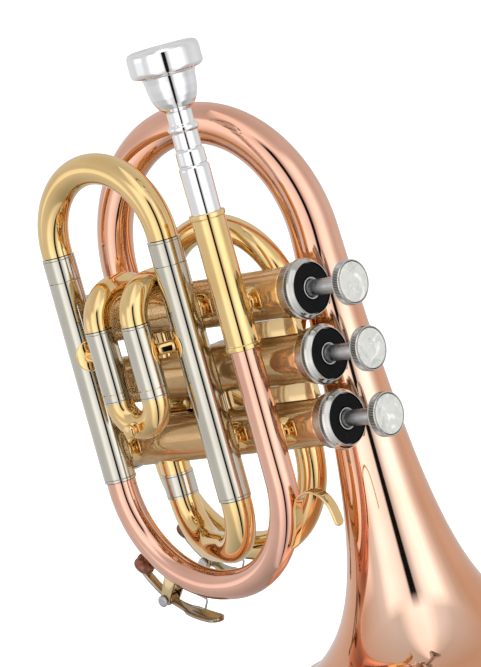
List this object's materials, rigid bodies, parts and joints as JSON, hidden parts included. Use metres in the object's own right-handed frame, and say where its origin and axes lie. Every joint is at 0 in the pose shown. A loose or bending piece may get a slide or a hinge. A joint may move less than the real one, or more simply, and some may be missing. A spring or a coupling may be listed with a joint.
{
  "type": "pocket trumpet",
  "caption": "Pocket trumpet standing on its bell: piston valves, pull-out slides, water keys and a removable mouthpiece.",
  "frame": {"origin": "middle of the bounding box on the surface that the bell's rim stands on", "axes": "+Z along the bell's axis towards the mouthpiece, +X the way the finger buttons face, +Y to the player's left when the instrument is played"},
  "size_m": [0.1722, 0.1324, 0.2653],
  "materials": {
    "rose_brass": "polished and lacquered",
    "yellow_brass": "polished and lacquered",
    "nickel_silver": "polished nickel silver",
    "silver_plate": "bright silver plate",
    "steel": "plain",
    "felt": "matt",
    "pearl": "glossy mother of pearl",
    "cork": "matt"
  },
  "bodies": {
    "horn": {"valve_casing_1": "yellow_brass", "valve_casing_2": "yellow_brass", "valve_casing_3": "yellow_brass", "knuckle_1_2": "yellow_brass", "knuckle_2_3": "yellow_brass", "mouthpiece_receiver": "yellow_brass", "entry_crook": "yellow_brass", "first_slide_bow_high": "yellow_brass", "first_slide_bow_low": "yellow_brass", "third_slide_coil": "yellow_brass", "third_slide_riser": "yellow_brass", "bell_brace": "yellow_brass", "finger_hook": "yellow_brass", "leadpipe": "rose_brass", "bell": "rose_brass", "top_cap_1": "nickel_silver", "top_cap_2": "nickel_silver", "top_cap_3": "nickel_silver", "bottom_cap_1": "nickel_silver", "bottom_cap_2": "nickel_silver", "bottom_cap_3": "nickel_silver", "casing_spacer_1_2": "nickel_silver", "casing_spacer_2_3": "nickel_silver", "tuning_sleeve_high": "nickel_silver", "tuning_sleeve_low": "nickel_silver", "first_slide_sleeve_high": "nickel_silver", "first_slide_sleeve_low": "nickel_silver", "second_slide_sleeve_high": "nickel_silver", "second_slide_sleeve_low": "nickel_silver", "valve_spring_1": "steel", "valve_spring_2": "steel", "valve_spring_3": "steel", "water_key_screw_front": "steel", "water_key_spring_front": "steel", "cap_felt_1": "felt", "cap_felt_2": "felt", "cap_felt_3": "felt"},
    "valve_1": {"piston_1": "nickel_silver", "finger_button_1": "nickel_silver", "button_pearl_1": "pearl"},
    "valve_2": {"piston_2": "nickel_silver", "finger_button_2": "nickel_silver", "button_pearl_2": "pearl"},
    "valve_3": {"piston_3": "nickel_silver", "finger_button_3": "nickel_silver", "button_pearl_3": "pearl"},
    "tuning_slide": {"tuning_slide_crook": "yellow_brass", "tuning_slide_leg_high": "nickel_silver", "tuning_slide_leg_low": "nickel_silver"},
    "first_slide": {"first_slide_crook": "yellow_brass"},
    "second_slide": {"second_slide_crook": "yellow_brass"},
    "third_slide": {"third_slide_crook": "yellow_brass", "water_key_screw_third": "steel", "water_key_spring_third": "steel"},
    "front_water_key": {"water_key_lever_front": "nickel_silver", "water_key_cork_front": "cork"},
    "third_water_key": {"water_key_lever_third": "nickel_silver", "water_key_cork_third": "cork"},
    "mouthpiece": {"mouthpiece": "silver_plate"}
  },
  "joints": [
    {"name": "valve_1_press", "type": "slide", "parent": "horn", "child": "valve_1", "axis": [-1, 0, 0], "range_m": [0, 0.0162], "stiffness_N_per_m": 150, "springref_m": -0.01, "deforming": ["valve_spring_1"]},
    {"name": "valve_2_press", "type": "slide", "parent": "horn", "child": "valve_2", "axis": [-1, 0, 0], "range_m": [0, 0.0162], "stiffness_N_per_m": 150, "springref_m": -0.01, "deforming": ["valve_spring_2"]},
    {"name": "valve_3_press", "type": "slide", "parent": "horn", "child": "valve_3", "axis": [-1, 0, 0], "range_m": [0, 0.0162], "stiffness_N_per_m": 150, "springref_m": -0.01, "deforming": ["valve_spring_3"]},
    {"name": "tuning_slide_pull", "type": "slide", "parent": "horn", "child": "tuning_slide", "axis": [0, 0, 1], "range_m": [0, 0.04]},
    {"name": "first_slide_pull", "type": "slide", "parent": "horn", "child": "first_slide", "axis": [0, 0, -1], "range_m": [0, 0.015]},
    {"name": "second_slide_pull", "type": "slide", "parent": "horn", "child": "second_slide", "axis": [0, 1, 0], "range_m": [0, 0.009]},
    {"name": "third_slide_pull", "type": "slide", "parent": "horn", "child": "third_slide", "axis": [0, 0, -1], "range_m": [0, 0.009]},
    {"name": "front_water_key_open", "type": "hinge", "parent": "horn", "child": "front_water_key", "pos_m": [-0.0544, -0.04163, 0.04614], "axis": [0, -1, 0], "range_deg": [0, 12], "stiffness_Nm_per_rad": 0.05, "springref_deg": -28.65, "deforming": ["water_key_spring_front"]},
    {"name": "third_water_key_open", "type": "hinge", "parent": "third_slide", "child": "third_water_key", "pos_m": [-0.06511, -0.00453, 0.05029], "axis": [0, -1, 0], "range_deg": [0, 12], "stiffness_Nm_per_rad": 0.05, "springref_deg": -28.65, "deforming": ["water_key_spring_third"]},
    {"name": "mouthpiece_pull", "type": "slide", "parent": "horn", "child": "mouthpiece", "axis": [0, 0, 1], "range_m": [0, 0.03]}
  ]
}
